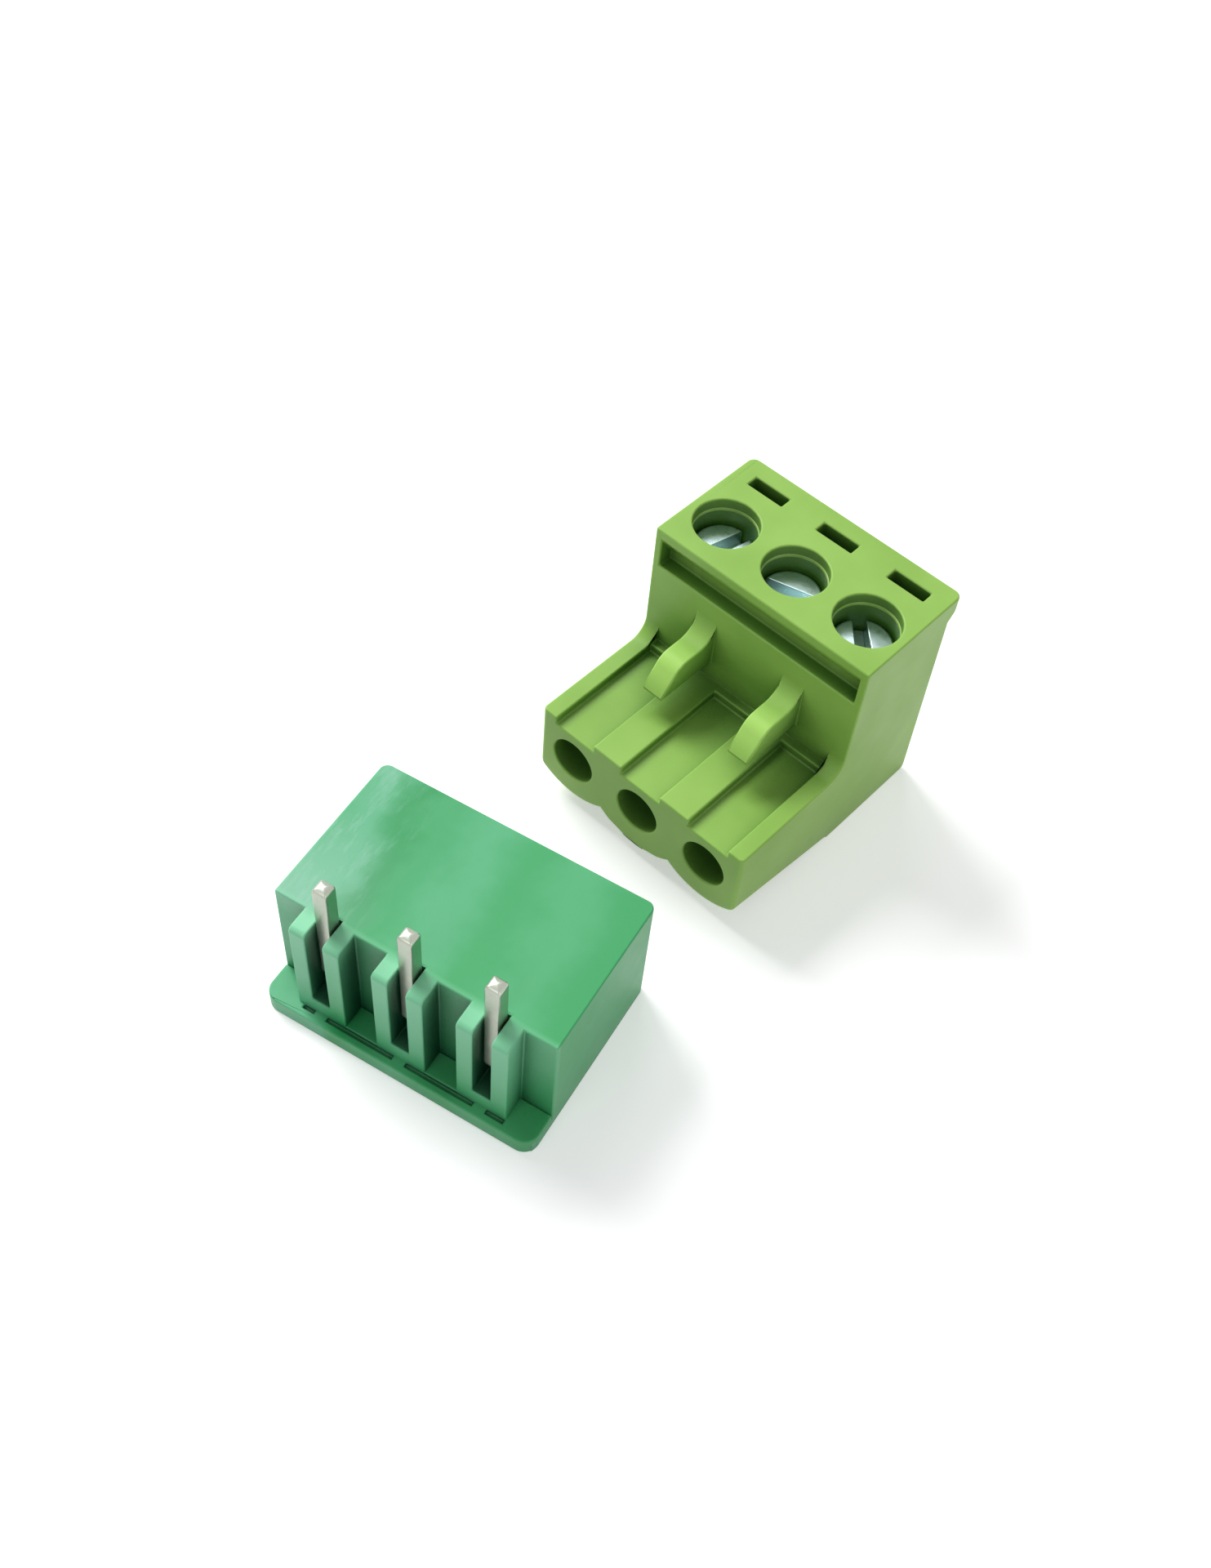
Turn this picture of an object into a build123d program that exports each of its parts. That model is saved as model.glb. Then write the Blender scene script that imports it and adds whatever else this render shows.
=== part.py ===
from build123d import *
import os

# A three pole pluggable terminal block: a screw plug, and the right angle
# pin header that it plugs into. The header lies in front of the plug, upside
# down, with its solder pins pointing up and its mouth towards the plug.
# Millimetres, +Z up. The plug is drawn with X along the row of poles, Y from
# the tip of its nose towards the wires, and Z from the surface it stands on.

# Row of poles
POLES = 3
PITCH = 5.08

# Tall body of the plug, behind its nose
PLUG_HEIGHT = 15.4
BODY_DEPTH = 8.55        # from the front wall to the edge of the lip
LIP_REACH = 0.8          # lip round the top, beyond the rear face
LIP_HEIGHT = 0.8
LIP_SLANT = 0.85
LIP_CORNER = 0.5
REAR_DRAFT = 0.45        # the rear face leans out this much towards the bottom
FOOT_CORNER = 0.4        # rounding along the bottom rear edge
STEP_INSET = 0.5         # the underside steps down this far in front of the wall
STEP_LENGTH = 1.1
STEP_HEIGHT = 0.9

# Nose of the plug
NOSE_LENGTH = 8.7        # from its tip to the front wall of the tall body
NOSE_TOP = 6.8
LOBE_RADIUS = 4.2        # one round lobe under each pole
LOBE_LOW = 0.95          # lowest point of a lobe at the tip
NOSE_CORNER = 0.6        # rounding of the outer lower edges
NOSE_SLOPE = 0.19        # the underside falls this much for each mm of length
CHANNEL_WIDTH = 2.9
CHANNEL_DEPTH = 0.53
CHANNEL_LEDGE = 0.55     # strip between the end of a channel and the front wall
GUSSET_RADIUS = 1.2      # hollow corner between the outer ribs and the front wall
TIP_CORNER = 0.3

# Label groove in the front wall
GROOVE_LAND = 0.6        # front edge of the top, above the groove
GROOVE_HEIGHT = 2.1
GROOVE_DEPTH = 1.0
GROOVE_BACK = 0.7        # height of the upright back of the groove
GROOVE_END = 0.5         # closed end at each side

# Two latch tabs on the front wall, over the nose: when the halves are mated,
# the wall that the header lies on slides in under them
TAB_SPACING = 6.45       # between the middles of the two
TAB_WIDTH = 1.5
TAB_REACH = 4.3          # in front of the front wall
TAB_HEIGHT = 1.9         # from the underside to the level top
TAB_SLOPE = 1.35         # the sloped front runs back this far
TAB_TIP = 0.15           # blunt end of the slope
TAB_CLEAR = 0.2          # under the tab, over the wall of the header
TAB_ROUND = 1.3          # between the slope and the level top
TAB_ROOT = 1.4           # hollow corner between the level top and the front wall

# Clamp screw, slotted, with a cylindrical head
SCREW_INSET = 3.16       # axis behind the front wall
HEAD_RADIUS = 1.8
HEAD_HEIGHT = 2.0
HEAD_SUNK = 1.8          # top of the head below the top of the plug
HEAD_ROUND = 0.2
SLOT_WIDTH = 0.8
SLOT_DEPTH = 1.0
SLOT_TURNS = (77, 16, 133)   # how each screw was left, degrees from the row
SHANK_RADIUS = 1.45
TIP_CHAMFER = 0.3
NECK_LENGTH = 1.3        # stretch of the housing that holds the shank
DRIVER_CLEAR = 0.15      # round the head
NECK_CLEAR = 0.1         # round the shank where the housing holds it
THREAD_CLEAR = 0.05      # round the shank in the cage
SEAT_CLEAR = 0.1         # under the head, and under the tip of the screw

# Contact: a bar through the cage, bent down to a fork of two leaves
CONTACT_DROP = 2.77      # axis of the socket under the top of the nose
SOCKET_RADIUS = 1.5
BAR_WIDTH = 2.7
BAR_THICK = 0.8
BAR_RISE = 0.77          # underside of the bar over the axis
BAR_SEAT = 0.5           # the bar's rear end sits this deep in the housing
PLATE_DROP = 1.43        # bottom of the bent plate under the axis
PLATE_INSET = 1.9        # front of the plate in front of the front wall
LEAF_THICK = 0.35
LEAF_HEIGHT = 1.7
LEAF_TIP_Y = 2.1
LEAF_PINCH_Y = 3.3
LEAF_SPREAD = 0.92       # outer face to centre line, at the root
LEAF_PINCH = 0.78        # the same at the narrowest place
POCKET_CLEAR = 0.05

# Clamp cage, a folded loop round the bar
CAGE_WIDTH = 4.1
CAGE_LENGTH = 4.2
CAGE_WALL = 0.5          # leaves room for the screw between the side walls
CAGE_THREAD_WALL = 1.5
CAGE_CORNER = 0.5
WIRE_ROOM = 2.9          # under the bar, cage fully down
BAR_ROOM = 0.2           # over the bar, cage fully down
CAGE_CLEAR = 0.1
CAGE_HEADROOM = 0.4      # over the cage, cage fully up

# Wire entries and test slots
ENTRY_WIDTH = 4.0
ENTRY_HEIGHT = 4.2
ENTRY_INNER_WIDTH = 2.7
ENTRY_INNER_HEIGHT = 2.6
ENTRY_DROP = 1.6         # middle of the entry under the bar
TEST_WIDTH = 2.5
TEST_LENGTH = 0.8
TEST_DEPTH = 4.0
TEST_INSET = 1.63        # middle of the slot in front of the lip's edge

# Header housing, in its own frame: X along the row, Y from its rear wall
# towards its mouth, Z from the surface it lies on
MATE_CLEAR = 0.11        # round the nose of the plug
END_CLEAR = 0.15         # in front of the nose
FACE_CLEAR = 0.1         # between the mouth and the front wall of the plug
SIDE_WALL = 0.85
TOP_WALL = 1.0           # the wall that the header lies on
BOARD_WALL = 0.58        # the wall opposite, which faces the board
REAR_WALL = 1.2
MOUTH_CORNER = 0.5
FLANGE_LIP = 0.1         # beyond the groove
FLANGE_THICK = 0.9
FLANGE_CORNER = 0.9
DRAIN_WIDTH = 0.3        # shallow groove along the flange, broken at each post
DRAIN_DEPTH = 0.4
DRAIN_LINK = 0.8
POST_WIDTH = 3.1
POST_REACH = 1.8
POST_WEB = 0.8
POST_ROUND = 0.35
RELIEF_CLEAR = 0.3       # round the hollow corners of the plug
HEADER_X = 0.6           # middle of the rear wall, seen from the plug
HEADER_Y = -17.88
HEADER_YAW = 12.7

# Header pins
PIN_SIZE = 0.9
PIN_Y = -0.15            # middle of the solder leg
PIN_OUT = 3.4            # solder leg beyond the board face
PIN_INSET = 2.3          # tip of the mating leg behind the mouth
PIN_CLEAR = 0.1          # round the solder leg in the slot of its post
PIN_BEVEL = 0.25
PIN_BEND = 0.9

# How shapes are joined and cut
OVER = 1.0               # a cut runs this far past the face that it opens
LAP = 0.1                # two hollows that open into each other share this much
NEAR = 0.01              # an edge this close to a face belongs to it

# Worked out from the sizes above
half_width = POLES * PITCH / 2
pole_x = [(i - (POLES - 1) / 2) * PITCH for i in range(POLES)]
gap_x = [(i - (POLES - 2) / 2) * PITCH for i in range(POLES - 1)]
tab_x = [-TAB_SPACING / 2, TAB_SPACING / 2]
rib_inset = (PITCH - CHANNEL_WIDTH) / 2
lip_y = NOSE_LENGTH + BODY_DEPTH
rear_y = lip_y - LIP_REACH
step_y = NOSE_LENGTH - STEP_INSET
channel_floor_z = NOSE_TOP - CHANNEL_DEPTH
groove_high_z = PLUG_HEIGHT - GROOVE_LAND
groove_low_z = groove_high_z - GROOVE_HEIGHT
tab_low_z = NOSE_TOP + MATE_CLEAR + TOP_WALL + TAB_CLEAR
contact_z = NOSE_TOP - CONTACT_DROP
bar_low_z = contact_z + BAR_RISE
bar_top_z = bar_low_z + BAR_THICK
plate_y = NOSE_LENGTH - PLATE_INSET
plate_low_z = contact_z - PLATE_DROP
screw_y = NOSE_LENGTH + SCREW_INSET
head_top_z = PLUG_HEIGHT - HEAD_SUNK
head_low_z = head_top_z - HEAD_HEIGHT
shoulder_z = head_low_z - SEAT_CLEAR
cage_low_z = bar_low_z - WIRE_ROOM - CAGE_WALL
cage_window_z = bar_top_z + BAR_ROOM
cage_top_z = cage_window_z + CAGE_THREAD_WALL
chamber_width = CAGE_WIDTH + 2 * CAGE_CLEAR
chamber_front_y = screw_y - CAGE_LENGTH / 2 - CAGE_CLEAR
chamber_rear_y = screw_y + CAGE_LENGTH / 2 + CAGE_CLEAR
chamber_low_z = cage_low_z - CAGE_CLEAR
chamber_top_z = shoulder_z - NECK_LENGTH
cage_rise = chamber_top_z - CAGE_HEADROOM - cage_top_z
bar_end_y = chamber_rear_y + BAR_SEAT
entry_z = bar_low_z - ENTRY_DROP
test_y = lip_y - TEST_INSET
header_half = half_width + MATE_CLEAR + SIDE_WALL
nose_in_header_y = REAR_WALL + END_CLEAR
nose_in_header_z = TOP_WALL + MATE_CLEAR + NOSE_TOP
header_depth = nose_in_header_y + NOSE_LENGTH - FACE_CLEAR
header_height = nose_in_header_z + MATE_CLEAR + BOARD_WALL
flange_reach = POST_REACH + DRAIN_WIDTH + FLANGE_LIP
pin_z = nose_in_header_z - contact_z


def block(x0, x1, y0, y1, z0, z1):
    """A box between two corners."""
    box = Box(x1 - x0, y1 - y0, z1 - z0, align=(Align.MIN, Align.MIN, Align.MIN))
    return Pos(x0, y0, z0) * box


def slab(points, x0, x1):
    """An outline in Y and Z, carried along X from x0 to x1."""
    outline = Plane.YZ.offset(x0) * Polygon(*points, align=None)
    return extrude(outline, x1 - x0, dir=(1, 0, 0))


def nose(grow, low_z):
    """The lobed nose of the plug, from its tip to the base, grown by a clearance.

    The section has one round lobe for each pole. It is carried back along a
    falling line, so the nose gets deeper towards the body, and is cut level
    on top and at low_z.
    """
    length = step_y + STEP_LENGTH
    centre_z = LOBE_LOW + LOBE_RADIUS
    high_z = NOSE_TOP + NOSE_SLOPE * length + OVER
    wide = half_width + grow
    section = Pos(0, (centre_z + high_z) / 2) * Rectangle(2 * wide, high_z - centre_z)
    for x in pole_x:
        section += Pos(x, centre_z) * Circle(LOBE_RADIUS + grow)
    section &= Rectangle(2 * wide, 2 * high_z)
    outer_low = section.vertices().filter_by(lambda v: abs(v.X) > wide - NEAR).sort_by(Axis.Y)[:2]
    section = fillet(outer_low, NOSE_CORNER)
    fall = Vector(0, length + grow, -NOSE_SLOPE * (length + grow))
    face = Plane.XZ.offset(grow) * section
    body = extrude(face, fall.length, dir=fall)
    return body & block(-wide, wide, -grow, length, low_z, NOSE_TOP + grow)


def hollow_corner(x0, x1, radius, z):
    """The hollow rounded corner between a level top at z and the front wall."""
    corner = Pos(NOSE_LENGTH - radius / 2, z + radius / 2) * Rectangle(radius, radius)
    corner -= Pos(NOSE_LENGTH - radius, z + radius) * Circle(radius)
    return extrude(Plane.YZ.offset(x0) * corner, x1 - x0, dir=(1, 0, 0))


def latch_tab(x):
    """A tab over the nose: flat below, sloped in front, with a hollow root."""
    tip_y = NOSE_LENGTH - TAB_REACH
    top_z = tab_low_z + TAB_HEIGHT
    side = Polygon(
        (NOSE_LENGTH + LAP, tab_low_z),
        (tip_y, tab_low_z),
        (tip_y, tab_low_z + TAB_TIP),
        (tip_y + TAB_SLOPE, top_z),
        (NOSE_LENGTH + LAP, top_z),
        align=None,
    )
    knee = side.vertices().filter_by(lambda v: v.Y > top_z - NEAR).sort_by(Axis.X)[0]
    side = fillet(knee, TAB_ROUND)
    left, right = x - TAB_WIDTH / 2, x + TAB_WIDTH / 2
    tab = extrude(Plane.YZ.offset(left) * side, TAB_WIDTH, dir=(1, 0, 0))
    return tab + hollow_corner(left, right, TAB_ROOT, top_z)


def funnel(x):
    """Wire entry: a funnel from the rear face to the cage chamber."""
    outer = Plane.XZ.offset(-lip_y) * Pos(x, entry_z) * Rectangle(ENTRY_WIDTH, ENTRY_HEIGHT)
    inner = Plane.XZ.offset(-chamber_rear_y) * Pos(x, entry_z)
    inner *= Rectangle(ENTRY_INNER_WIDTH, ENTRY_INNER_HEIGHT)
    return loft([outer.face(), inner.face()])


def upright(x, y, radius, z0, z1):
    """A vertical cylinder from z0 to z1."""
    return Pos(x, y, z0) * Cylinder(radius, z1 - z0, align=(Align.CENTER, Align.CENTER, Align.MIN))


def plug_housing():
    side = [
        (NOSE_LENGTH, PLUG_HEIGHT),
        (lip_y, PLUG_HEIGHT),
        (lip_y, PLUG_HEIGHT - LIP_HEIGHT),
        (rear_y, PLUG_HEIGHT - LIP_HEIGHT - LIP_SLANT),
        (rear_y + REAR_DRAFT, 0),
        (step_y + STEP_LENGTH, 0),
        (step_y, STEP_HEIGHT),
        (step_y, channel_floor_z),
        (NOSE_LENGTH, channel_floor_z),
    ]
    tall = slab(side, -half_width, half_width)
    foot = tall.edges().filter_by(Axis.X).sort_by(lambda e: e.center().Y - 2 * e.center().Z)[-1]
    tall = fillet(foot, FOOT_CORNER)
    lip = tall.edges().filter_by(Axis.Z).filter_by(lambda e: e.center().Y > lip_y - NEAR)
    tall = fillet(lip, LIP_CORNER)

    front = nose(0, 0)
    tip = front.edges().filter_by(Axis.Z).filter_by(lambda e: e.center().Y < NEAR)
    front = fillet(tip, TIP_CORNER)
    housing = tall + front
    for x in pole_x:
        housing -= block(x - CHANNEL_WIDTH / 2, x + CHANNEL_WIDTH / 2,
                         -OVER, NOSE_LENGTH - CHANNEL_LEDGE, channel_floor_z, NOSE_TOP + OVER)
    for x in tab_x:
        housing += latch_tab(x)
    housing += hollow_corner(-half_width, -half_width + rib_inset, GUSSET_RADIUS, NOSE_TOP)
    housing += hollow_corner(half_width - rib_inset, half_width, GUSSET_RADIUS, NOSE_TOP)

    groove = [
        (NOSE_LENGTH - OVER, groove_low_z),
        (NOSE_LENGTH + GROOVE_DEPTH, groove_low_z),
        (NOSE_LENGTH + GROOVE_DEPTH, groove_low_z + GROOVE_BACK),
        (NOSE_LENGTH, groove_high_z),
        (NOSE_LENGTH - OVER, groove_high_z),
    ]
    housing -= slab(groove, -half_width + GROOVE_END, half_width - GROOVE_END)

    pocket_half = BAR_WIDTH / 2 + POCKET_CLEAR
    for x in pole_x:
        # screw bore, the neck that holds the shank, and the cage chamber
        housing -= upright(x, screw_y, HEAD_RADIUS + DRIVER_CLEAR, shoulder_z, PLUG_HEIGHT + OVER)
        housing -= upright(x, screw_y, SHANK_RADIUS + NECK_CLEAR, chamber_top_z - LAP, shoulder_z + LAP)
        housing -= block(x - chamber_width / 2, x + chamber_width / 2,
                         chamber_front_y, chamber_rear_y, chamber_low_z, chamber_top_z)
        # round socket in the nose, and the pocket behind it for the bent plate
        socket = Pos(x, -OVER, contact_z) * Rot(-90, 0, 0) * Cylinder(
            SOCKET_RADIUS, plate_y + OVER, align=(Align.CENTER, Align.CENTER, Align.MIN))
        housing -= socket
        housing -= block(x - pocket_half, x + pocket_half, plate_y - POCKET_CLEAR,
                         chamber_front_y + LAP, plate_low_z, bar_top_z + POCKET_CLEAR)
        # seat for the rear end of the bar, then the wire entry under it
        housing -= block(x - pocket_half, x + pocket_half,
                         chamber_rear_y - LAP, bar_end_y, bar_low_z, bar_top_z + POCKET_CLEAR)
        housing -= funnel(x)
        housing -= block(x - TEST_WIDTH / 2, x + TEST_WIDTH / 2,
                         test_y - TEST_LENGTH / 2, test_y + TEST_LENGTH / 2,
                         PLUG_HEIGHT - TEST_DEPTH, PLUG_HEIGHT + OVER)
    return housing


def clamp_screw(x, turn):
    head = upright(x, screw_y, HEAD_RADIUS, head_low_z, head_top_z)
    head = fillet(head.edges().sort_by(Axis.Z)[-1], HEAD_ROUND)
    across = 2 * (HEAD_RADIUS + OVER)
    head -= Pos(x, screw_y, head_top_z) * Rot(0, 0, turn) * Box(across, SLOT_WIDTH, 2 * SLOT_DEPTH)
    shank = upright(x, screw_y, SHANK_RADIUS, bar_top_z + SEAT_CLEAR, head_low_z)
    shank = chamfer(shank.edges().sort_by(Axis.Z)[0], TIP_CHAMFER)
    return head + shank


def clamp_cage(x):
    """A strip folded into a loop, with the threaded wall on top."""
    high = cage_top_z - cage_low_z
    loop = Pos(x, cage_low_z + high / 2) * RectangleRounded(CAGE_WIDTH, high, CAGE_CORNER)
    window_low = cage_low_z + CAGE_WALL
    window = Rectangle(CAGE_WIDTH - 2 * CAGE_WALL, cage_window_z - window_low)
    loop -= Pos(x, (window_low + cage_window_z) / 2) * window
    rear = Plane.XZ.offset(-screw_y - CAGE_LENGTH / 2)
    cage = extrude(rear * loop, CAGE_LENGTH, dir=(0, -1, 0))
    return cage - upright(x, screw_y, SHANK_RADIUS + THREAD_CLEAR, cage_window_z - LAP, cage_top_z + OVER)


def socket_contact(x):
    """The bar through the cage, the plate bent down from it, and two spring leaves."""
    left, right = x - BAR_WIDTH / 2, x + BAR_WIDTH / 2
    contact = block(left, right, plate_y, bar_end_y, bar_low_z, bar_top_z)
    contact += block(left, right, plate_y, plate_y + BAR_THICK, plate_low_z, bar_top_z)
    for side in (-1, 1):
        outer = [(LEAF_SPREAD, plate_y), (LEAF_PINCH, LEAF_PINCH_Y), (LEAF_SPREAD, LEAF_TIP_Y)]
        inner = [(across - LEAF_THICK, along) for across, along in reversed(outer)]
        points = [(side * across, along) for across, along in outer + inner]
        outline = Pos(x, 0, contact_z - LEAF_HEIGHT / 2) * Polygon(*points, align=None)
        contact += extrude(outline, LEAF_HEIGHT, dir=(0, 0, 1))
    return contact


def place_header(shape):
    """From the header's own frame to where it lies in front of the plug."""
    return Pos(HEADER_X, HEADER_Y, 0) * Rot(0, 0, HEADER_YAW) * shape


def nose_to_header(shape):
    """A piece of the plug, as it lies in the header when the two are mated."""
    return Pos(0, nose_in_header_y, nose_in_header_z) * Rot(0, 180, 0) * shape


def header_housing():
    housing = block(-header_half, header_half, 0, header_depth, 0, header_height)
    corners = housing.edges().filter_by(Axis.Z).filter_by(lambda e: e.center().Y > header_depth - NEAR)
    housing = fillet(corners, MOUTH_CORNER)

    flange = block(-header_half, header_half, -flange_reach, REAR_WALL, 0, FLANGE_THICK)
    corners = flange.edges().filter_by(Axis.Z).filter_by(lambda e: e.center().Y < 0)
    housing += fillet(corners, FLANGE_CORNER)
    drain_half = (PITCH - DRAIN_LINK) / 2
    for x in gap_x + [gap_x[0] - PITCH, gap_x[-1] + PITCH]:
        drain = block(x - drain_half, x + drain_half, -POST_REACH - DRAIN_WIDTH, -POST_REACH,
                      FLANGE_THICK - DRAIN_DEPTH, FLANGE_THICK + OVER)
        housing -= drain & block(-header_half + DRAIN_WIDTH, header_half - DRAIN_WIDTH,
                                 -flange_reach, 0, 0, header_height)

    # one slotted post behind each pin
    slot_half = PIN_SIZE / 2 + PIN_CLEAR
    slot_end_y = PIN_Y + PIN_SIZE / 2 + PIN_CLEAR
    for x in pole_x:
        post = block(x - POST_WIDTH / 2, x + POST_WIDTH / 2, -POST_REACH, REAR_WALL / 2, 0, header_height)
        crest = post.edges().filter_by(Axis.X).sort_by(lambda e: e.center().Z - e.center().Y)[-1]
        housing += fillet(crest, POST_ROUND)
    for x in pole_x:
        housing -= block(x - slot_half, x + slot_half, -POST_REACH - OVER, slot_end_y,
                         FLANGE_THICK + POST_WEB, header_height + OVER)

    # the cavity is the nose of the plug, upside down and grown by the clearance
    inside = nose_to_header(nose(MATE_CLEAR, -MATE_CLEAR))
    housing -= inside & block(-header_half, header_half, REAR_WALL, header_depth + OVER,
                              TOP_WALL, header_height)
    for x in pole_x:
        housing -= block(x - PIN_SIZE / 2, x + PIN_SIZE / 2, 0, REAR_WALL + OVER,
                         pin_z - PIN_SIZE / 2, pin_z + PIN_SIZE / 2)

    # reliefs that clear the hollow corners of the plug
    relief_y = header_depth - GUSSET_RADIUS - RELIEF_CLEAR
    relief_x = header_half - SIDE_WALL - MATE_CLEAR - rib_inset - RELIEF_CLEAR
    for side in (-1, 1):
        ends = sorted((side * relief_x, side * (header_half - SIDE_WALL)))
        housing -= block(*ends, relief_y, header_depth + OVER, -OVER, TOP_WALL + LAP)
    return housing


def header_pin(x):
    """A square pin bent through a right angle: a mating leg and a solder leg."""
    half = PIN_SIZE / 2
    tip_y = header_depth - PIN_INSET
    tip_z = header_height + PIN_OUT
    side = Polygon(
        (PIN_Y - half, pin_z - half), (tip_y, pin_z - half), (tip_y, pin_z + half),
        (PIN_Y + half, pin_z + half), (PIN_Y + half, tip_z), (PIN_Y - half, tip_z),
        align=None,
    )
    bend = side.vertices().sort_by(lambda v: v.X + v.Y)[0]
    side = fillet(bend, PIN_BEND)
    pin = extrude(Plane.YZ.offset(x - half) * side, PIN_SIZE, dir=(1, 0, 0))
    solder_end = pin.faces().sort_by(Axis.Z)[-1].edges()
    mating_end = pin.faces().sort_by(Axis.Y)[-1].edges()
    return chamfer(solder_end + mating_end, PIN_BEVEL)


pieces = {"plug_housing": plug_housing()}
for number, x in enumerate(pole_x, start=1):
    turn = SLOT_TURNS[(number - 1) % len(SLOT_TURNS)]
    pieces[f"clamp_screw_{number}"] = clamp_screw(x, turn)
    pieces[f"clamp_cage_{number}"] = clamp_cage(x)
    pieces[f"socket_contact_{number}"] = socket_contact(x)
pieces["header_housing"] = place_header(header_housing())
for number, x in enumerate(pole_x, start=1):
    pieces[f"header_pin_{number}"] = place_header(header_pin(x))

# the origin is the middle of the whole, on the surface that both halves stand on
extent = Compound(children=[Compound(p.solids()) for p in pieces.values()]).bounding_box()
centring = Pos(-extent.center().X, -extent.center().Y, 0)

os.makedirs("parts", exist_ok=True)
for name, piece in pieces.items():
    export_step(centring * piece, f"parts/{name}.step")
    print(name, round(piece.volume, 2), len(piece.solids()))
print("shift", round(-extent.center().X, 4), round(-extent.center().Y, 4))
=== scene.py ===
"""A three pole pluggable terminal block: the screw plug and its pin header."""

import math

import bmesh
import bpy
import numpy as np
from mathutils import Matrix, Vector


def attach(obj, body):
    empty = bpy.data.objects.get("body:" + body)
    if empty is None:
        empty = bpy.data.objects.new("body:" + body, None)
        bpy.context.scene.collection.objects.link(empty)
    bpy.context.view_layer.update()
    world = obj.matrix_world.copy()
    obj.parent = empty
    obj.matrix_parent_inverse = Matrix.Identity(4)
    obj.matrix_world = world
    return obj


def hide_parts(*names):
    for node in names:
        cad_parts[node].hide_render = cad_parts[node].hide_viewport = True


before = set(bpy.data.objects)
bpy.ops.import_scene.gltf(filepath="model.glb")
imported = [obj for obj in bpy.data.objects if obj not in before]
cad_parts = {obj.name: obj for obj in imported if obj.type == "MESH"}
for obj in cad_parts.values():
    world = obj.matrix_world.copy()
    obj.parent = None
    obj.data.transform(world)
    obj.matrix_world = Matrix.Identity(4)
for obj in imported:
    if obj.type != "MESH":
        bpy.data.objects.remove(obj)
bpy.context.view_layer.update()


# The camera stands where the photograph was taken from, above the pair and in
# front of it on the right. Its line of sight was worked out from that picture.

camera_at = Vector((0.033919, -0.043579, 0.082305))
sight = Vector((-0.37048, 0.47065, -0.80077)).normalized()
picture_up = Vector((-0.57579, 0.56011, 0.59560))
rightward = sight.cross(picture_up).normalized()
upward = rightward.cross(sight)
camera = bpy.data.objects.new("camera", bpy.data.cameras.new("camera"))
bpy.context.scene.collection.objects.link(camera)
camera.matrix_world = Matrix((
    (rightward.x, upward.x, -sight.x, camera_at.x),
    (rightward.y, upward.y, -sight.y, camera_at.y),
    (rightward.z, upward.z, -sight.z, camera_at.z),
    (0, 0, 0, 1),
))
camera.data.sensor_width = 36
camera.data.lens = 38.60
camera.data.clip_start = 0.001
bpy.context.scene.camera = camera
bpy.context.scene.view_settings.view_transform = "Standard"


# The studio: a white matt floor in an even white surround, one large soft light
# on the left, a small one behind it that gives the tops their sheen, and weak
# lights that fill the shade from the front and from the right.

def link_object(name, data):
    """A new object in the scene that holds data."""
    piece = bpy.data.objects.new(name, data)
    bpy.context.scene.collection.objects.link(piece)
    return piece


def feed(tree, socket, value):
    """Links another node's output to the socket, or sets the socket to a constant."""
    if isinstance(value, bpy.types.NodeSocket):
        tree.links.new(value, socket)
    else:
        socket.default_value = value


def add_node(tree, kind, **values):
    """A shader node whose inputs of those names are fed the values given."""
    node = tree.nodes.new(kind)
    for name, value in values.items():
        feed(tree, node.inputs[name.replace("_", " ")], value)
    return node


def new_material(name):
    """An empty material with its node tree and its output."""
    material = bpy.data.materials.new(name)
    material.use_nodes = True
    tree = material.node_tree
    tree.nodes.clear()
    return material, tree, add_node(tree, "ShaderNodeOutputMaterial")


def combined(tree, operation, first, second):
    """Two values, each a node's output or a number, put together by a Math node."""
    node = add_node(tree, "ShaderNodeMath")
    node.operation = operation
    feed(tree, node.inputs[0], first)
    feed(tree, node.inputs[1], second)
    return node.outputs[0]


def seen_or_felt(tree, seen, felt):
    """The shader seen where the camera looks, straight or off a glossy surface, and the shader
    felt for all other light, which falls on the object."""
    ray = add_node(tree, "ShaderNodeLightPath")
    looked_at = combined(tree, "MAXIMUM", ray.outputs["Is Camera Ray"], ray.outputs["Is Glossy Ray"])
    either = add_node(tree, "ShaderNodeMixShader", Fac=looked_at)
    feed(tree, either.inputs[1], felt.outputs[0])
    feed(tree, either.inputs[2], seen.outputs[0])
    return either.outputs[0]


floor_reach = 0.5
floor_corners = [(x * floor_reach, y * floor_reach, 0) for x, y in ((-1, -1), (1, -1), (1, 1), (-1, 1))]
floor_mesh = bpy.data.meshes.new("floor")
floor_mesh.from_pydata(floor_corners, [], [(0, 1, 2, 3)])
floor = link_object("floor", floor_mesh)
floor_paint, tree, out = new_material("floor_paint")
matt = add_node(tree, "ShaderNodeBsdfDiffuse", Color=(0.80, 0.80, 0.80, 1))
lift = add_node(tree, "ShaderNodeEmission", Color=(1, 1, 1, 1), Strength=0.45)
lifted = add_node(tree, "ShaderNodeAddShader")
feed(tree, lifted.inputs[0], matt.outputs[0])
feed(tree, lifted.inputs[1], lift.outputs[0])
feed(tree, out.inputs[0], seen_or_felt(tree, lifted, matt))
floor_mesh.materials.append(floor_paint)

lit_spot = Vector((0, 0, 0.005))


def area_light(name, place, size, watts):
    """A square soft white light of that size at place, turned towards the lit spot."""
    lamp = bpy.data.lights.new(name, "AREA")
    lamp.size = size
    lamp.energy = watts
    light = link_object(name, lamp)
    light.location = place
    light.rotation_euler = (lit_spot - Vector(place)).to_track_quat("-Z", "Y").to_euler()


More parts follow.
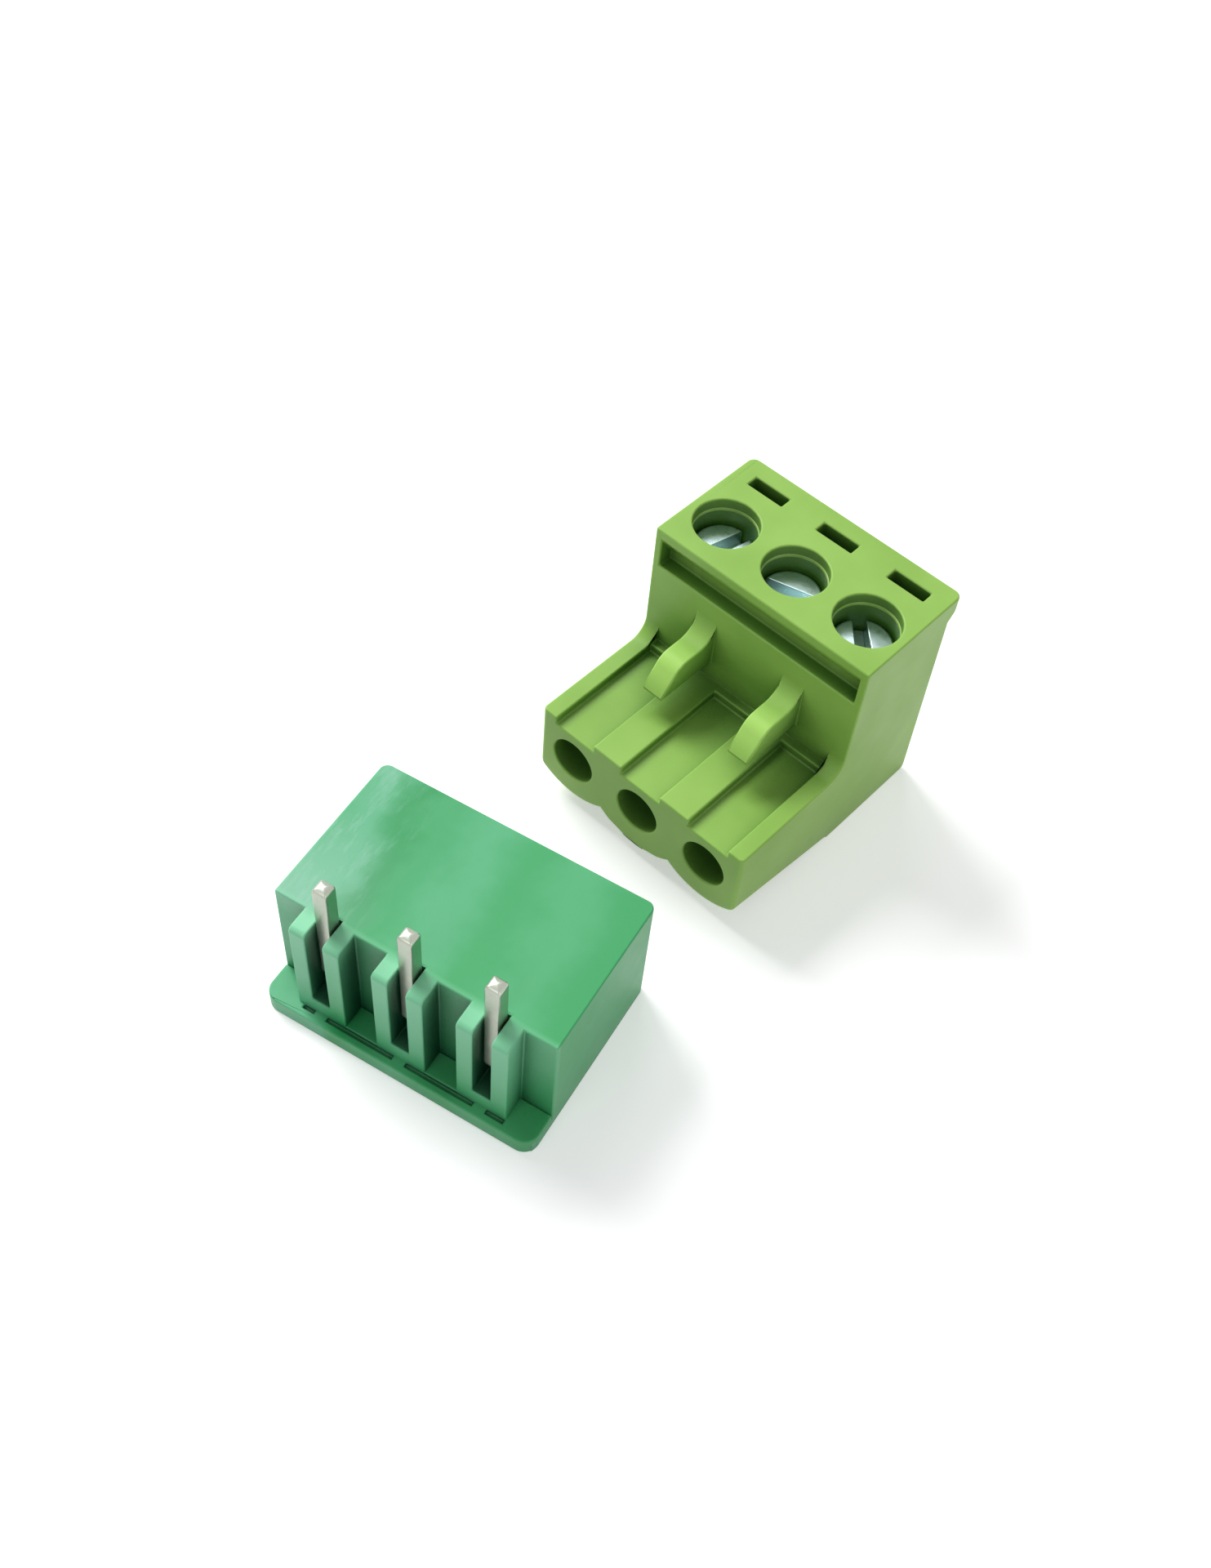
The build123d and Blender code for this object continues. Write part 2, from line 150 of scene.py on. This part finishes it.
area_light("key_light", (-0.62, 0.08, 0.63), size=0.40, watts=7.1)
area_light("sheen_light", (-0.38, 0.36, 0.72), size=0.22, watts=0.7)
area_light("front_light", (0.05, -0.62, 0.60), size=0.40, watts=0.9)
area_light("right_light", (0.80, 0.10, 0.30), size=0.50, watts=0.9)

world = bpy.data.worlds.new("surround")
bpy.context.scene.world = world
world.use_nodes = True
tree = world.node_tree
tree.nodes.clear()
seen = add_node(tree, "ShaderNodeBackground", Color=(1, 1, 1, 1), Strength=1.0)
felt = add_node(tree, "ShaderNodeBackground", Color=(0.96, 0.98, 1, 1), Strength=0.26)
add_node(tree, "ShaderNodeOutputWorld", Surface=seen_or_felt(tree, seen, felt))


# The plug housing: one moulding in yellow green plastic with a satin skin,
# slightly translucent, its edges rounded by the tool that moulded it. The two
# thin latch tabs over its nose carry a painted highlight in a brighter green.

def merged(points, triangles):
    """The same surface with the points that lie on one another joined, and without the triangles
    that this leaves with no area."""
    in_microns = np.round(points * 1e6)
    _, first, same = np.unique(in_microns, axis=0, return_index=True, return_inverse=True)
    triangles = same.reshape(-1)[triangles]
    whole = (triangles != np.roll(triangles, 1, axis=1)).all(axis=1)
    return points[first], triangles[whole]


def surface_of(node):
    """The points and triangles of a CAD node, merged."""
    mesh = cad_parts[node].data
    points = np.zeros(len(mesh.vertices) * 3)
    mesh.vertices.foreach_get("co", points)
    corners = np.zeros(len(mesh.loops), int)
    mesh.loops.foreach_get("vertex_index", corners)
    return merged(points.reshape(-1, 3), corners.reshape(-1, 3))


def free_depth(loop, share, starts, ends, number):
    """How far a line runs into the loop's flat area, square to its edge, before it meets another
    sharp edge of that area, and one metre if it meets none. It sets out at that share of its own
    edge, the sharp edge of that number. The ends of all sharp edges are measured from there in
    three ways: inward, along the edge and off the area. The line meets an edge that lies in the
    area and has its ends on different sides of the line."""
    normal = np.array(loop.face.normal)
    along = np.array(loop.link_loop_next.vert.co - loop.vert.co)
    inward = np.cross(normal, along / np.linalg.norm(along))
    spot = np.array(loop.vert.co) + share * along
    ways = np.stack([inward, along, normal], 1)
    start_in, start_along, start_off = np.transpose((starts - spot) @ ways)
    end_in, end_along, end_off = np.transpose((ends - spot) @ ways)
    off_limit, parallel, at_edge = 2e-6, 1e-12, 1e-6
    met = (np.abs(start_off) < off_limit) & (np.abs(end_off) < off_limit)
    met &= (start_along * end_along <= 0) & (np.abs(end_along - start_along) > parallel)
    met[number] = False
    part = start_along[met] / (start_along[met] - end_along[met])
    depths = start_in[met] + part * (end_in[met] - start_in[met])
    return np.min(depths[depths > at_edge], initial=1.0)


def rounded_piece(name, points, faces, body, width):
    """A closed piece whose flat areas are joined and whose sharp edges are rounded to that width.
    An edge is rounded less where the same flat area has another sharp edge near, and not at all
    where that is too near, so that two roundings never meet."""
    flat, crease = math.radians(0.6), math.radians(35)
    least_strip, least_depth, full_depth = 1.5 * width, 1.2 * width, 2.3 * width
    mesh = bpy.data.meshes.new(name)
    mesh.from_pydata(points, [], faces)
    work = bmesh.new()
    work.from_mesh(mesh)
    bmesh.ops.dissolve_limit(work, angle_limit=flat, verts=work.verts, edges=work.edges)
    weight = work.edges.layers.float.new("bevel_weight_edge")
    sharp = [edge for edge in work.edges if edge.calc_face_angle() > crease]
    starts = np.array([edge.verts[0].co for edge in sharp])
    ends = np.array([edge.verts[1].co for edge in sharp])
    for number, edge in enumerate(sharp):
        strip = min(face.calc_area() for face in edge.link_faces) / edge.calc_length()
        if strip < least_strip:
            continue
        depth = min(
            free_depth(loop, share, starts, ends, number)
            for loop in edge.link_loops for share in (0.25, 0.5, 0.75)
        )
        if depth > least_depth:
            edge[weight] = min(1.0, depth / full_depth)
    work.to_mesh(mesh)
    work.free()
    mesh.shade_smooth()
    mesh.set_sharp_from_angle(angle=crease)
    piece = link_object(name, mesh)
    rounding = piece.modifiers.new("rounded edges", "BEVEL")
    rounding.width = width
    rounding.segments = 3
    rounding.limit_method = "WEIGHT"
    rounding.use_clamp_overlap = False
    rounding.harden_normals = True
    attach(piece, body)
    return piece


def between(tree, value, start, end, least=0.0, most=1.0):
    """How far value has gone from start to end, as a number from least to most."""
    return add_node(
        tree, "ShaderNodeMapRange", Value=value, From_Min=start, From_Max=end, To_Min=least, To_Max=most,
    ).outputs[0]


def noise(tree, place, scale, detail, rough):
    """Cloudy noise, a number about one half, with about scale clouds to a metre."""
    return add_node(
        tree, "ShaderNodeTexNoise", Vector=place, Scale=scale, Detail=detail, Roughness=rough,
    ).outputs[0]


def ramp(tree, share, stops, easing="LINEAR"):
    """The colour at that share of the way through the stops, each a place and a colour."""
    node = add_node(tree, "ShaderNodeValToRGB", Fac=share)
    node.color_ramp.interpolation = easing
    elements = node.color_ramp.elements
    for place, _ in stops[1:-1]:
        elements.new(place)
    for element, (place, colour) in zip(elements, stops):
        element.position = place
        element.color = (*colour, 1)
    return node.outputs[0]


def blend(tree, share, first, second):
    """The first colour, going over to the second as share goes from 0 to 1."""
    return add_node(tree, "ShaderNodeMixRGB", Fac=share, Color1=first, Color2=second).outputs[0]


def openness(tree, distance, low, high, inside=False):
    """How open the surface is within that distance, from 0 in a hollow to 1 in the open;
    inside looks into the plastic instead, where a low value is a thin edge."""
    probe = add_node(tree, "ShaderNodeAmbientOcclusion", Distance=distance)
    probe.samples = 4
    probe.only_local = True
    probe.inside = inside
    return between(tree, probe.outputs["AO"], low, high)


def plastic(name, sheen, hollow, edge_wear_and_highlight, paint):
    """A satin moulding plastic. paint gives its colour in the open. Hollows a few millimetres deep
    and creases under half a millimetre go to a darker colour, a painted shade, and thin edges, in
    patches, to a lighter one, partly wear and partly a painted highlight. Over that lie uneven gloss and a
    fine grain."""
    material, tree, out = new_material(name)
    place = add_node(tree, "ShaderNodeTexCoord").outputs["Object"]
    # Painted shade: hollows and creases go over to the colour hollow.
    out_of_hollows = openness(tree, distance=0.0045, low=0.30, high=0.87)
    out_of_creases = openness(tree, distance=0.0005, low=0.18, high=0.68)
    in_the_open = combined(tree, "MULTIPLY", out_of_hollows, out_of_creases)
    shaded = blend(tree, in_the_open, (*hollow, 1), paint(tree, place))
    # Thin edges go over to a lighter colour in patches: partly wear, partly a painted highlight.
    rubs = noise(tree, place, scale=900.0, detail=3.0, rough=0.6)
    patches = between(tree, rubs, 0.35, 0.65, least=0.15, most=0.75)
    thin_edges = openness(tree, distance=0.00028, low=0.75, high=0.30, inside=True)
    rubbed_and_lit_edges = combined(tree, "MULTIPLY", combined(tree, "MULTIPLY", thin_edges, patches), in_the_open)
    uneven = noise(tree, place, scale=600.0, detail=4.0, rough=0.6)
    gloss = between(tree, uneven, 0, 1, least=sheen - 0.06, most=sheen + 0.09)
    grain = noise(tree, place, scale=9000.0, detail=2.0, rough=0.5)
    bump = add_node(tree, "ShaderNodeBump", Height=grain, Strength=0.16, Distance=0.00002)
    skin = add_node(
        tree, "ShaderNodeBsdfPrincipled",
        Base_Color=blend(tree, rubbed_and_lit_edges, shaded, (*edge_wear_and_highlight, 1)), Roughness=gloss, Normal=bump.outputs[0],
        IOR=1.47, Specular_IOR_Level=0.34,
        Subsurface_Weight=0.12, Subsurface_Scale=0.0009, Subsurface_Radius=(0.55, 1.0, 0.28),
    )
    feed(tree, out.inputs[0], skin.outputs[0])
    return material


plug_deep = (0.255, 0.475, 0.078)
plug_pale = (0.34, 0.585, 0.12)
# The plug's hollow colour is painted shade.
plug_painted_shade = (0.045, 0.135, 0.016)
# The plug's lighter edge colour: partly wear, partly a painted highlight.
plug_edge_wear_and_highlight = (0.42, 0.64, 0.20)
# The tabs' brighter green is a painted highlight.
tab_highlight_green = (0.47, 0.80, 0.17)


def plug_green(tree, place):
    """Soft clouds about 7 mm across from the deep green to the pale one. Above the nose and in
    front of the plug's front wall, where only the tabs are, they go over to a brighter green, a painted
    highlight on the tabs."""
    parts = add_node(tree, "ShaderNodeSeparateXYZ", Vector=place)
    clouds = noise(tree, place, scale=140.0, detail=3.0, rough=0.55)
    body_green = ramp(tree, clouds, ((0.3, plug_deep), (0.72, plug_pale)))
    # Painted highlight: the tabs go over to a brighter green.
    above_nose = between(tree, parts.outputs["Z"], 0.0080, 0.0092, most=0.75)
    before_wall = between(tree, parts.outputs["Y"], 0.0109, 0.0103)
    tab_highlight = combined(tree, "MULTIPLY", above_nose, before_wall)
    return blend(tree, tab_highlight, body_green, (*tab_highlight_green, 1))


plug_plastic = plastic("plug_plastic", sheen=0.42, hollow=plug_painted_shade, edge_wear_and_highlight=plug_edge_wear_and_highlight, paint=plug_green)
plug = rounded_piece("plug_shell", *surface_of("plug_housing"), body="block", width=0.00012)
plug.data.materials.append(plug_plastic)
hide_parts("plug_housing")


# The rings in the driver bores: one low bead on the wall of each bore, above the
# head of its screw and part of the same moulding as the plug housing.

pitch = 0.00508
middle_bore = (0.000291, 0.0141033)


def bore_ring(x, y, z, radius, thick, high):
    """A ring on the wall of an upright bore at x, y: an ellipse with the half axes thick, sideways,
    and high, upwards, carried round a circle of the bore's radius at the height z. Its reach from
    the bore's axis is the radius less thick times a cosine, its height z plus high times a sine."""
    turn, about = np.meshgrid(
        np.linspace(0, 2 * np.pi, 64, False), np.linspace(0, 2 * np.pi, 12, False), indexing="ij",
    )
    reach = radius - thick * np.cos(about)
    points = np.stack([x + reach * np.cos(turn), y + reach * np.sin(turn), z + high * np.sin(about)], -1)
    number = np.arange(turn.size).reshape(turn.shape)
    beside, above = np.roll(number, -1, 0), np.roll(number, -1, 1)
    faces = np.stack([number, above, np.roll(above, -1, 0), beside], -1)
    return points.reshape(-1, 3), faces.reshape(-1, 4)


for pole in (1, 2, 3):
    ring_points, ring_faces = bore_ring(
        (pole - 2) * pitch + middle_bore[0], middle_bore[1], z=0.01462,
        radius=0.00196, thick=0.00007, high=0.00012,
    )
    ring_mesh = bpy.data.meshes.new(f"bore_ring_{pole}")
    ring_mesh.from_pydata(ring_points, [], ring_faces)
    ring_mesh.shade_smooth()
    ring = link_object(f"bore_ring_{pole}", ring_mesh)
    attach(ring, "block")
    ring.data.materials.append(plug_plastic)


# The clamp screws: M3 steel screws, zinc plated with a bluish cast, each with
# a slotted cylinder head low in its bore, standing at its own angle.

def metal(name, tint, sheen):
    """A plated metal with cloudy plating and an uneven gloss that follows its fine roughness."""
    material, tree, out = new_material(name)
    place = add_node(tree, "ShaderNodeTexCoord").outputs["Object"]
    dull_tint = [0.88 * part for part in tint]
    clouds = noise(tree, place, scale=750.0, detail=4.0, rough=0.6)
    plating = ramp(tree, clouds, ((0.3, dull_tint), (0.7, tint)))
    specks = noise(tree, place, scale=2500.0, detail=5.0, rough=0.65)
    gloss = between(tree, specks, 0, 1, least=sheen - 0.1, most=sheen + 0.14)
    bump = add_node(tree, "ShaderNodeBump", Height=specks, Strength=0.2, Distance=0.00002)
    skin = add_node(
        tree, "ShaderNodeBsdfPrincipled",
        Base_Color=plating, Metallic=1.0, Roughness=gloss, Normal=bump.outputs[0],
    )
    feed(tree, out.inputs[0], skin.outputs[0])
    return material


blue_zinc = (0.70, 0.88, 0.89)
screw_steel = metal("screw_steel", tint=blue_zinc, sheen=0.28)
for pole in (1, 2, 3):
    solid = surface_of(f"clamp_screw_{pole}")
    screw = rounded_piece(f"screw_{pole}", *solid, body=f"screw_{pole}", width=0.00006)
    screw.data.materials.append(screw_steel)
    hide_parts(f"clamp_screw_{pole}")


# The clamp cages: folded steel loops, zinc plated, that rise with the screws
# and press the wire up against the contact bar.

grey_zinc = (0.62, 0.62, 0.60)
cage_steel = metal("cage_steel", tint=grey_zinc, sheen=0.42)
for pole in (1, 2, 3):
    solid = surface_of(f"clamp_cage_{pole}")
    cage = rounded_piece(f"cage_{pole}", *solid, body=f"cage_{pole}", width=0.00008)
    cage.data.materials.append(cage_steel)
    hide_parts(f"clamp_cage_{pole}")


# The socket contacts: tinned copper alloy, a bar that the wire is pressed on
# and two sprung leaves that grip the header's pin.

pale_tin = (0.66, 0.64, 0.60)
contact_metal = metal("contact_metal", tint=pale_tin, sheen=0.38)
for pole in (1, 2, 3):
    solid = surface_of(f"socket_contact_{pole}")
    contact = rounded_piece(f"contact_{pole}", *solid, body="block", width=0.00004)
    contact.data.materials.append(contact_metal)
    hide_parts(f"socket_contact_{pole}")


# The header housing: one moulding in a bluer, cloudy green plastic, with painted
# reflections in bands from front to back, lying upside down in front of the plug.
# Its posts stand further back and their slots end higher than the solid's.

header_turn = math.radians(12.7)
header_axes = np.array([
    (math.cos(header_turn), math.sin(header_turn), 0),
    (-math.sin(header_turn), math.cos(header_turn), 0),
    (0, 0, 1),
])
header_origin = np.array((0.000891, -0.0156367, 0))
header_half = 0.0086
# The header's hollow colour is painted shade.
header_painted_shade = (0.006, 0.060, 0.028)
# The header's lighter edge colour: partly wear, partly a painted highlight.
header_edge_wear_and_highlight = (0.26, 0.60, 0.38)
# The greens of the bands are painted reflections.
header_reflection_bands = (
    (0.00, (0.075, 0.420, 0.190)), (0.12, (0.110, 0.455, 0.235)), (0.25, (0.024, 0.325, 0.100)),
    (0.34, (0.050, 0.385, 0.140)), (0.50, (0.092, 0.450, 0.205)), (0.65, (0.050, 0.390, 0.135)),
    (0.82, (0.085, 0.440, 0.185)), (1.00, (0.050, 0.380, 0.130)),
)
# A painted sheen, in streaks on the top's left.
sheen_streak_green = (0.34, 0.62, 0.50)
# A painted sheen, paler towards the front of the top's left.
front_sheen_green = (0.36, 0.66, 0.52)
# A painted highlight on the posts.
post_highlight_green = (0.26, 0.70, 0.42)


def out_of_header(own):
    """Points in the shared frame, from their measures along the header's own axes: to the right,
    back and up, from the middle of the foot of the wall behind its posts."""
    return own @ header_axes + header_origin


def header_green(tree, place):
    """Painted reflections in bands along the header's depth: its own sideways measure, drifting
    with depth and bent a little by clouds, read through a ramp of greens. The top's left gets painted
    sheen, in lengthways streaks and paler towards the front, and the thin posts a painted highlight, paler
    the higher they stand."""
    own = add_node(
        tree, "ShaderNodeMapping", Vector=place, Rotation=(0, 0, -header_turn),
        Location=tuple(-header_axes @ header_origin),
    ).outputs[0]
    parts = add_node(tree, "ShaderNodeSeparateXYZ", Vector=own)
    depth, height = parts.outputs["Y"], parts.outputs["Z"]
    drifted = combined(tree, "ADD", parts.outputs["X"], combined(tree, "MULTIPLY", depth, 0.10))
    clouds = noise(tree, own, scale=260.0, detail=3.0, rough=0.6)
    side = combined(tree, "ADD", drifted, between(tree, clouds, 0, 1, least=-0.0022, most=0.0022))
    # Painted reflections: bands of lighter and darker green across the header.
    bands = ramp(tree, between(tree, side, -header_half, header_half), header_reflection_bands, "EASE")
    on_top = between(tree, height, 0.0070, 0.0084)
    left = combined(tree, "MULTIPLY", between(tree, side, -0.0026, -0.0075), on_top)
    # Painted sheen: pale lengthways streaks on the top's left.
    lengthways = add_node(tree, "ShaderNodeMapping", Vector=own, Scale=(1.0, 0.22, 1.0)).outputs[0]
    streaks = noise(tree, lengthways, scale=1300.0, detail=5.0, rough=0.7)
    sheen_streaks = combined(tree, "MULTIPLY", between(tree, streaks, 0.50, 0.72, most=0.55), left)
    with_sheen_streaks = blend(tree, sheen_streaks, bands, (*sheen_streak_green, 1))
    # Painted sheen: the top's left pales towards the front.
    front_left = combined(tree, "MULTIPLY", between(tree, depth, 0.0062, 0.0006, most=0.45), left)
    with_front_sheen = blend(tree, front_left, with_sheen_streaks, (*front_sheen_green, 1))
    # Painted highlight: the posts pale the higher they stand.
    before_wall = between(tree, depth, 0.0004, -0.0004)
    up_the_posts = between(tree, height, 0.0010, 0.0084, most=0.85)
    post_highlight = combined(tree, "MULTIPLY", before_wall, up_the_posts)
    return blend(tree, post_highlight, with_front_sheen, (*post_highlight_green, 1))


header_plastic = plastic(
    "header_plastic", sheen=0.40, hollow=header_painted_shade, edge_wear_and_highlight=header_edge_wear_and_highlight, paint=header_green,
)

# All of a post but its root moves back with its face, and the flange of this
# copy is drawn back into the flange that the next section makes.
post_root, post_face, post_setback = -0.0006, -0.0018, 0.0003
slot_end, raised_slot_end = 0.0017, 0.0023
flange_top, drawn_back = 0.00091, -0.00152
near = 1e-5
points, triangles = surface_of("header_housing")
own = (points - header_origin) @ header_axes.T
depth, height = own[:, 1].copy(), own[:, 2].copy()
in_flange = (height < flange_top) & (depth < post_face - near)
in_post = (depth < post_root) & ((height > flange_top) | (np.abs(depth - post_face) < near))
own[in_post, 1] += post_setback
own[in_flange, 1] = drawn_back
own[np.abs(height - slot_end) < near, 2] = raised_slot_end
header = rounded_piece("header_shell", *merged(out_of_header(own), triangles), body="block", width=0.00010)
header.data.materials.append(header_plastic)
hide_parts("header_housing")


# The flange of the header: the rim under its posts, part of the same moulding,
# with a shallow groove along the posts' feet that a short link breaks at each
# pole.

def flange_rim(half, reach, corner, bottom, top, floor, inner, outer, grooves):
    """A plate whose front follows a straight line with two quarter circles at its corners. Columns
    run across it at the ends of the grooves and round the corners; in each column the rows lie at
    the front, at the groove's two sides and at the back. Between two columns the strip between
    the middle rows lies at the groove's floor where they span a groove, else at the top."""
    arc = half - corner + corner * np.sin(np.linspace(0, np.pi / 2, 10))
    columns = np.unique(np.round(np.concatenate([arc, -arc, np.ravel(grooves)]), 9))
    count = len(columns)
    over = np.maximum(np.abs(columns) - (half - corner), 0)
    front = -reach + corner - np.sqrt(np.maximum(corner ** 2 - over ** 2, 0))
    rows = np.stack([front, np.maximum(front, outer), np.maximum(front, inner), 0 * front])
    wide = np.broadcast_to(columns, rows.shape)
    points = np.concatenate([
        np.stack([wide, rows, np.full(rows.shape, height)], -1).reshape(-1, 3)
        for height in (top, floor, bottom)
    ])
    upper, sunk, lower = np.arange(3 * 4 * count).reshape(3, 4, count)
    middle = (columns[1:, None] + columns[:-1, None]) / 2
    cut = ((middle > grooves[:, 0]) & (middle < grooves[:, 1])).any(1)
    starts = np.flatnonzero(cut & ~np.concatenate([[False], cut[:-1]]))
    ends = np.flatnonzero(cut & ~np.concatenate([cut[1:], [False]])) + 1

    def strip(first, second, cells=slice(None)):
        """Quads between two rows of points, over those cells."""
        return np.stack([first[:-1][cells], first[1:][cells], second[1:][cells], second[:-1][cells]], -1)

    left, right = 0, -1
    quads = np.concatenate([
        strip(upper[0], upper[1]), strip(upper[1], upper[2], ~cut), strip(upper[2], upper[3]),
        strip(sunk[1], sunk[2], cut), strip(upper[1], sunk[1], cut), strip(sunk[2], upper[2], cut),
        np.stack([upper[1], sunk[1], sunk[2], upper[2]], -1)[starts],
        np.stack([upper[2], sunk[2], sunk[1], upper[1]], -1)[ends],
        strip(lower[0], upper[0]), strip(upper[3], lower[3]),
        strip(lower[1], lower[0]), strip(lower[2], lower[1]), strip(lower[3], lower[2]),
        np.stack([upper[:-1], upper[1:], lower[1:], lower[:-1]], -1)[:, left],
        np.stack([lower[:-1], lower[1:], upper[1:], upper[:-1]], -1)[:, right],
    ])
    return merged(points, np.concatenate([quads[:, [0, 1, 2]], quads[:, [0, 2, 3]]]))


link_half = 0.0004
groove_left, groove_right = -0.0062, 0.0066
poles = np.array([-pitch, 0, pitch])
groove_starts = np.append(groove_left, poles + link_half)
groove_ends = np.append(poles - link_half, groove_right)
rim_points, rim_triangles = flange_rim(
    half=0.00857, reach=0.0022, corner=0.0009, bottom=0.00001, top=0.00122,
    floor=0.00100, inner=-0.00150, outer=-0.00176, grooves=np.stack([groove_starts, groove_ends], 1),
)
rim = rounded_piece("header_flange", out_of_header(rim_points), rim_triangles, body="block", width=0.00009)
rim.data.materials.append(header_plastic)


# The header pins: 0.9 mm square wire, tinned, pressed into the housing and bent
# at a right angle in it, with softly domed ends. The upper end of each stands
# past the board face.

def bent_wire(middle, low, far, near, high, bend, half, corner, dome):
    """Square wire with rounded corners, carried forwards along a level line, round a quarter
    circle and straight up. Over the last length of each end its section shrinks as a dome does:
    to the 2.4th root of one less the 2.4th power of the way to the tip."""
    quarter = np.linspace(0, np.pi / 2, 5)
    turn = (quarter[None, :] + np.arange(4)[:, None] * np.pi / 2).reshape(-1)
    centre = np.repeat(np.array([(1, 1), (-1, 1), (-1, -1), (1, -1)]) * (half - corner), 5, axis=0)
    section = centre + corner * np.stack([np.cos(turn), np.sin(turn)], -1)
    steps = 9
    tips = dome * (1 - (1 - np.linspace(0, 1, steps)) ** 1.6)
    arc = np.linspace(0, np.pi / 2, steps)
    depth = np.concatenate([far - tips, near + bend - bend * np.sin(arc), np.full(steps, near)])
    height = np.concatenate([np.full(steps, low), low + bend - bend * np.cos(arc), high - tips[::-1]])
    lean = np.concatenate([np.zeros(steps), arc, np.full(steps, np.pi / 2)])
    shrink = (1 - (1 - tips / dome) ** 2.4) ** (1 / 2.4)
    scale = np.concatenate([shrink, np.ones(steps), shrink[::-1]])
    sideways = section[None, :, 0] * scale[:, None]
    outwards = section[None, :, 1] * scale[:, None]
    points = np.stack([
        middle + sideways,
        depth[:, None] - outwards * np.sin(lean)[:, None],
        height[:, None] - outwards * np.cos(lean)[:, None],
    ], -1)
    number = np.arange(sideways.size).reshape(sideways.shape)
    ahead = np.roll(number, -1, axis=1)
    quads = np.stack([number[:-1], ahead[:-1], ahead[1:], number[1:]], -1).reshape(-1, 4)
    return merged(points.reshape(-1, 3), np.concatenate([quads[:, [0, 1, 2]], quads[:, [0, 2, 3]]]))


warm_tin = (0.47, 0.50, 0.42)
pin_metal = metal("pin_metal", tint=warm_tin, sheen=0.31)
for pole in (1, 2, 3):
    wire_points, wire_triangles = bent_wire(
        (pole - 2) * pitch, low=0.00388, far=0.00765, near=-0.00015, high=0.0120,
        bend=0.0005, half=0.00045, corner=0.00011, dome=0.00034,
    )
    wire = bpy.data.meshes.new(f"pin_{pole}")
    wire.from_pydata(out_of_header(wire_points), [], wire_triangles)
    wire.shade_smooth()
    pin = link_object(f"pin_{pole}", wire)
    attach(pin, "block")
    pin.data.materials.append(pin_metal)
    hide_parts(f"header_pin_{pole}")
